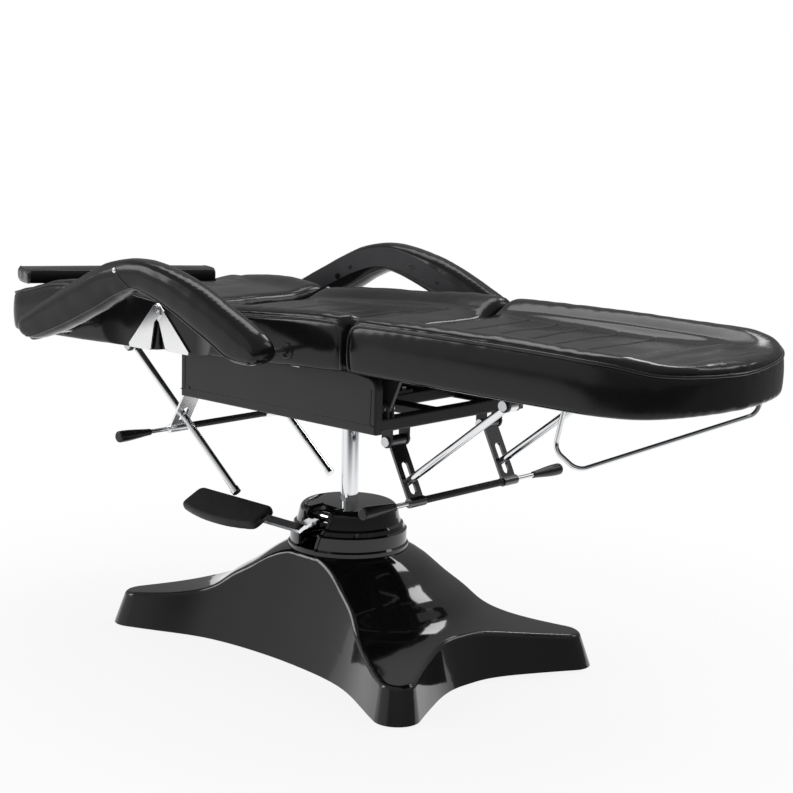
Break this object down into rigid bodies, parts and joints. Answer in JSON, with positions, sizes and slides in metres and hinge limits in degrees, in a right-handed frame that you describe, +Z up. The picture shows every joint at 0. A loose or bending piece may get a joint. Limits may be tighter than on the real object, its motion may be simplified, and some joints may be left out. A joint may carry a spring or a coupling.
{
  "type": "tattoo chair",
  "caption": "Black upholstered tattoo chair with folding leg rest, reclining back, linked armrests, head pillow, foot pump, lifting column and a four-foot moulded base.",
  "frame": {"origin": "on the floor, on the lifting column's axis", "axes": "+Z up, +X towards the foot end of the leg rest, -Y towards the foot pedal"},
  "size_m": [1.846, 0.822, 0.8421],
  "materials": {
    "base_gloss": "high gloss moulded black",
    "frame_black": "satin black powder coat",
    "steel_dark": "black zinc",
    "steel_bright": "zinc plated",
    "chrome": "polished chrome",
    "rubber": "matt black rubber",
    "wood": "plywood",
    "vinyl": "glossy black upholstery vinyl"
  },
  "bodies": {
    "base": {"base_cover": "base_gloss", "base_frame": "frame_black", "pump_cylinder": "steel_dark", "cylinder_bolts": "steel_bright", "pedal_pin": "steel_bright", "pump_cover": "base_gloss", "slot_rim": "base_gloss", "floor_pads": "rubber"},
    "pedal": {"pedal_bar": "frame_black", "pedal_shoe": "rubber"},
    "column": {"lift_column": "chrome"},
    "seat": {"swivel_mount": "frame_black", "mount_bolts": "steel_bright", "side_panel_near": "frame_black", "side_panel_far": "frame_black", "front_tube": "frame_black", "rear_tube": "frame_black", "cross_members": "frame_black", "centre_beams": "frame_black", "leg_hinge_ears": "frame_black", "leg_hinge_pins": "steel_bright", "leg_lock_ears": "frame_black", "leg_lock_pins": "steel_bright", "back_lock_ears": "frame_black", "back_lock_pins": "steel_bright", "seat_board": "wood", "seat_cushion": "vinyl", "hinge_screws": "steel_bright", "arm_pivots": "steel_bright", "seat_leaf_near": "chrome", "seat_leaf_far": "chrome"},
    "leg_release": {"leg_lock_plates": "steel_bright", "leg_lever_bar": "steel_bright", "leg_sleeve": "rubber", "leg_grip_near": "rubber", "leg_grip_far": "rubber"},
    "back_release": {"back_lock_plates": "steel_bright", "back_lever_bar": "steel_bright", "back_sleeve": "rubber", "back_grip": "rubber"},
    "leg_rods": {"leg_rods": "chrome"},
    "back_rods": {"back_rods": "chrome"},
    "leg_rest": {"leg_rod_ears": "frame_black", "leg_rod_pins": "steel_bright", "leg_frame": "frame_black", "loop_bar": "chrome", "leg_board": "wood", "leg_cushion": "vinyl"},
    "backrest": {"back_rod_ears": "frame_black", "back_rod_pins": "steel_bright", "back_board": "wood", "back_cushion": "vinyl", "head_pillow": "vinyl", "arm_studs": "steel_bright", "back_leaf_near": "chrome", "back_leaf_far": "chrome"},
    "arm_near": {"arm_core_near": "steel_dark", "arm_pad_near": "vinyl"},
    "arm_far": {"arm_core_far": "steel_dark", "arm_pad_far": "vinyl"}
  },
  "joints": [
    {"name": "foot_pedal", "type": "hinge", "parent": "base", "child": "pedal", "pos_m": [0.01145, -0.0786, 0.296], "axis": [0.999, -0.0454, 0], "range_deg": [0, 25], "stiffness_Nm_per_rad": 12, "springref_deg": -28.65},
    {"name": "column_lift", "type": "slide", "parent": "base", "child": "column", "axis": [0, 0, 1], "range_m": [0, 0.15]},
    {"name": "seat_swivel", "type": "hinge", "parent": "column", "child": "seat", "pos_m": [0, 0, 0.55], "axis": [0, 0, 1], "continuous": true},
    {"name": "leg_rest_fold", "type": "hinge", "parent": "seat", "child": "leg_rest", "pos_m": [0.268, 0, 0.583], "axis": [0, 1, 0], "range_deg": [0, 55]},
    {"name": "leg_rod_pivot", "type": "hinge", "parent": "leg_rest", "child": "leg_rods", "pos_m": [0.547, 0, 0.624], "axis": [0, 1, 0], "range_deg": [-1.3, 0]},
    {"name": "leg_lock_release", "type": "hinge", "parent": "seat", "child": "leg_release", "pos_m": [0.262, 0, 0.512], "axis": [0, 1, 0], "range_deg": [0, 4]},
    {"name": "back_recline", "type": "hinge", "parent": "seat", "child": "backrest", "pos_m": [-0.332, 0, 0.719], "axis": [0, 1, 0], "range_deg": [0, 62]},
    {"name": "back_rod_pivot", "type": "hinge", "parent": "backrest", "child": "back_rods", "pos_m": [-0.545, 0, 0.606], "axis": [0, 1, 0], "range_deg": [-33.5, 0]},
    {"name": "back_lock_release", "type": "hinge", "parent": "seat", "child": "back_release", "pos_m": [-0.314, 0, 0.578], "axis": [0, 1, 0], "range_deg": [-4, 0]},
    {"name": "arm_near_pivot", "type": "hinge", "parent": "seat", "child": "arm_near", "pos_m": [0.078, 0, 0.681], "axis": [0, 1, 0], "range_deg": [0, 26]},
    {"name": "arm_far_pivot", "type": "hinge", "parent": "seat", "child": "arm_far", "pos_m": [0.078, 0, 0.681], "axis": [0, 1, 0], "range_deg": [0, 26]}
  ],
  "couplings": [
    {"joint": "leg_rod_pivot", "follows": "leg_rest_fold", "ratio": -0.022},
    {"joint": "back_rod_pivot", "follows": "back_recline", "ratio": -0.536},
    {"joint": "arm_near_pivot", "follows": "back_recline", "ratio": 0.41},
    {"joint": "arm_far_pivot", "follows": "back_recline", "ratio": 0.41}
  ]
}
